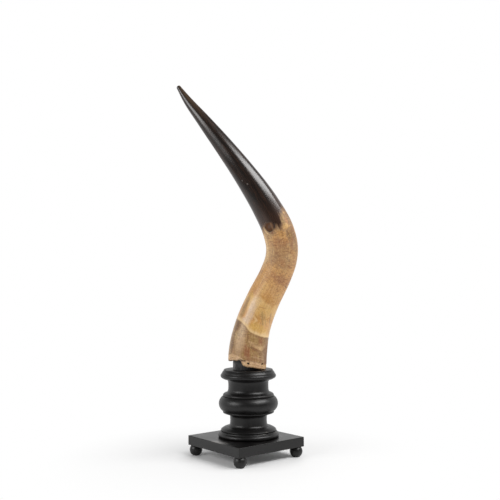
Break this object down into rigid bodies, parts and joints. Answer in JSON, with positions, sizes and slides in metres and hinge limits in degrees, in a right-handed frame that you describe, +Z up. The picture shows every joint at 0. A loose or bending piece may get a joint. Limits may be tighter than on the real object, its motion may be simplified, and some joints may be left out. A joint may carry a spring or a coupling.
{
  "type": "mounted ox horn",
  "caption": "Polished ox horn with a curving pointed tip, standing on a turned black wooden column with a square board and ball feet.",
  "frame": {"origin": "middle of the whole object's box, on the ground under the ball feet", "axes": "+Z up, +X and +Y along the sides of the square board, with the horn bending towards +X and +Y and its tip reaching back over -X and -Y"},
  "size_m": [0.1475, 0.1555, 0.5887],
  "materials": {
    "horn": "polished natural horn, dark at the tip and mottled gold and cream below",
    "horn_peg": "rough grey-black whittled wood",
    "black_wood": "satin black stain over turned wood"
  },
  "bodies": {
    "root": {"horn": "horn", "horn_peg": "horn_peg", "turned_column": "black_wood", "base_plate": "black_wood", "foot_front": "black_wood", "foot_left": "black_wood", "foot_right": "black_wood", "foot_back": "black_wood"}
  },
  "joints": []
}
